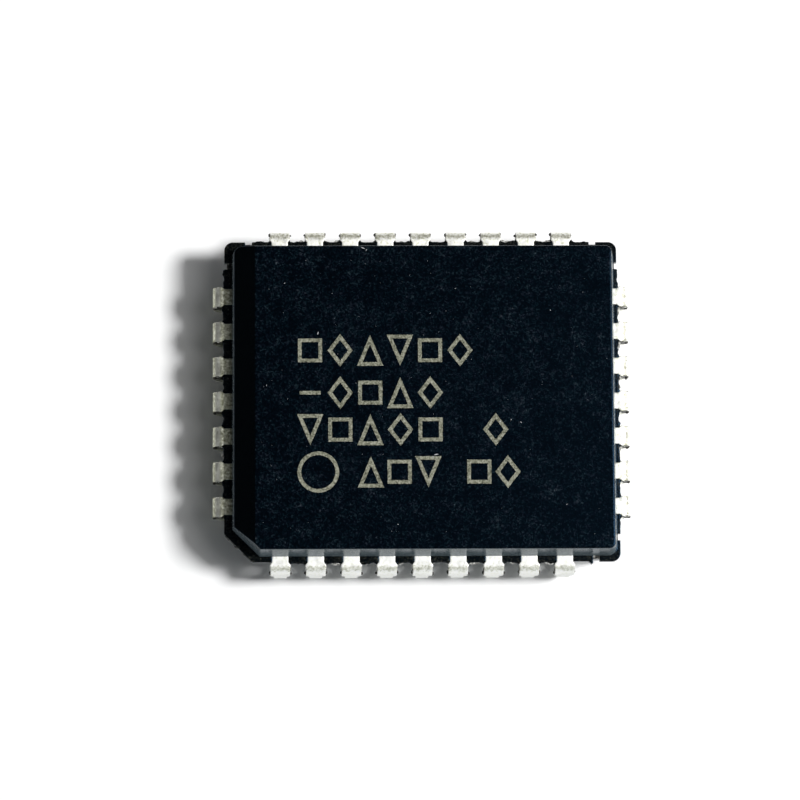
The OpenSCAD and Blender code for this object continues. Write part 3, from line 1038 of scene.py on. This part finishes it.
def floor_material():
    material, tree, shader = new_material("floor")
    path = node(tree, "ShaderNodeLightPath").outputs
    seen = combine(tree, "MAXIMUM", path["Is Camera Ray"], path["Is Glossy Ray"])
    colour = node(tree, "ShaderNodeMix", data_type="RGBA")
    colour.inputs["A"].default_value = FLOOR_LIT
    colour.inputs["B"].default_value = FLOOR_SEEN
    link(tree, seen, colour.inputs["Factor"])
    diffuse = node(tree, "ShaderNodeBsdfDiffuse")
    link(tree, colour.outputs["Result"], diffuse.inputs["Color"])
    link(tree, diffuse.outputs[0], tree.nodes["Material Output"].inputs["Surface"])
    tree.nodes.remove(shader)
    return material


def make_floor():
    bpy.ops.mesh.primitive_plane_add(size=FLOOR_SIZE, location=(0.0, 0.0, 0.0))
    floor = bpy.context.object
    floor.name = "floor"
    floor.data.materials.append(floor_material())


def surroundings(tree):
    """The level of light from each direction."""
    direction = coordinates(tree, node(tree, "ShaderNodeTexCoord").outputs["Generated"])
    height = direction["Z"]
    rightward = combine(tree, "MULTIPLY_ADD", direction["X"], 0.5, 0.5)
    frontward = combine(tree, "MULTIPLY_ADD", direction["Y"], -0.5, 0.5)
    left = fade(tree, height, LEFT_LEVELS)
    right = fade(tree, height, RIGHT_LEVELS)
    across = blend(tree, fade(tree, rightward, LEFT_TO_RIGHT), left, right)
    front = tones(tree, height, FRONT_LEVELS)
    return blend(tree, fade(tree, frontward, TO_FRONT), across, front)


def make_world():
    """The surroundings for all light but the camera's own rays, which see plain white."""
    world = bpy.data.worlds.new("studio")
    bpy.context.scene.world = world
    world.use_nodes = True
    tree = world.node_tree
    background = tree.nodes["Background"]
    link(tree, surroundings(tree), background.inputs["Color"])
    white = node(tree, "ShaderNodeBackground")
    white.inputs["Strength"].default_value = 1.0
    white.inputs["Color"].default_value = grey(1.0)
    mixed = node(tree, "ShaderNodeMixShader")
    is_camera = node(tree, "ShaderNodeLightPath").outputs["Is Camera Ray"]
    link(tree, is_camera, mixed.inputs["Fac"])
    link(tree, background.outputs[0], mixed.inputs[1])
    link(tree, white.outputs[0], mixed.inputs[2])
    link(tree, mixed.outputs[0], tree.nodes["World Output"].inputs["Surface"])


# Lamps: distance in metres; elevation, azimuth and width of each in degrees, and its share of the
# light that makes a white floor white
LAMP_DISTANCE = 0.5
KEY = (52.6, 0.0, 13.0, 0.83)
FILL = (67.0, 0.0, 24.0, 0.11)


def make_lamp(name, elevation, azimuth, width, share):
    up = math.radians(elevation)
    turn = math.radians(azimuth)
    lamp = bpy.data.lights.new(name, "AREA")
    lamp.shape = "DISK"
    lamp.size = 2.0 * LAMP_DISTANCE * math.tan(math.radians(width / 2.0))
    # a lamp of power P lights a surface that faces it at distance d with P / (pi d^2)
    lamp.energy = share * math.pi / math.sin(up) * math.pi * LAMP_DISTANCE ** 2
    made = bpy.data.objects.new(name, lamp)
    bpy.context.scene.collection.objects.link(made)
    made.location = LAMP_DISTANCE * Vector((
        math.cos(up) * math.cos(turn),
        math.cos(up) * math.sin(turn),
        math.sin(up),
    ))
    made.rotation_euler = (-made.location).to_track_quat("-Z", "Y").to_euler()


# Camera: place and target, roll in degrees, lens and sensor in the camera's millimetres, and the
# nearest and farthest distance that it sees
CAMERA_PLACE = Vector((-4.6, -22.8, 145.0)) * mm
CAMERA_TARGET = Vector((-0.77, 0.06, 2.16)) * mm
CAMERA_ROLL = -0.37
LENS = 181.3
SENSOR = 36.0
CLIP = (0.01, 10.0)


def make_camera():
    camera_data = bpy.data.cameras.new("camera")
    camera_data.sensor_width = SENSOR
    camera_data.lens = LENS
    camera_data.clip_start, camera_data.clip_end = CLIP
    camera = bpy.data.objects.new("camera", camera_data)
    bpy.context.scene.collection.objects.link(camera)
    back = (CAMERA_PLACE - CAMERA_TARGET).normalized()
    right = Vector((0.0, 1.0, 0.0)).cross(back).normalized()
    up = back.cross(right)
    facing = Matrix((right, up, back)).transposed().to_4x4()
    roll = Matrix.Rotation(math.radians(CAMERA_ROLL), 4, "Z")
    camera.matrix_world = Matrix.Translation(CAMERA_PLACE) @ facing @ roll
    bpy.context.scene.camera = camera


def main():
    make_camera()
    make_floor()
    make_world()
    make_lamp("key", *KEY)
    make_lamp("fill", *FILL)
    bpy.context.scene.view_settings.view_transform = "Standard"
    compound = mould_material()
    assign("mould_body", compound)
    make_fringe(compound)
    make_bleed_and_rims()
    make_marks()
    make_dust()
    metals = {side: lead_material("lead_plating_" + side, *PLATING[side]) for side in PLATING}
    make_slivers(metals["back"])
    make_stubs()
    for name in LEADS:
        assign(name, metals[lead_side(name)])
    assign("die_paddle", paddle_material())
    assign("die_attach", plain_metal("attach_glue", (0.35, 0.35, 0.36), 0.6))
    assign("die", plain_metal("silicon", (0.12, 0.14, 0.18), 0.15))
    assign("bond_wires", plain_metal("gold_wire", (0.83, 0.62, 0.22), 0.25))


main()
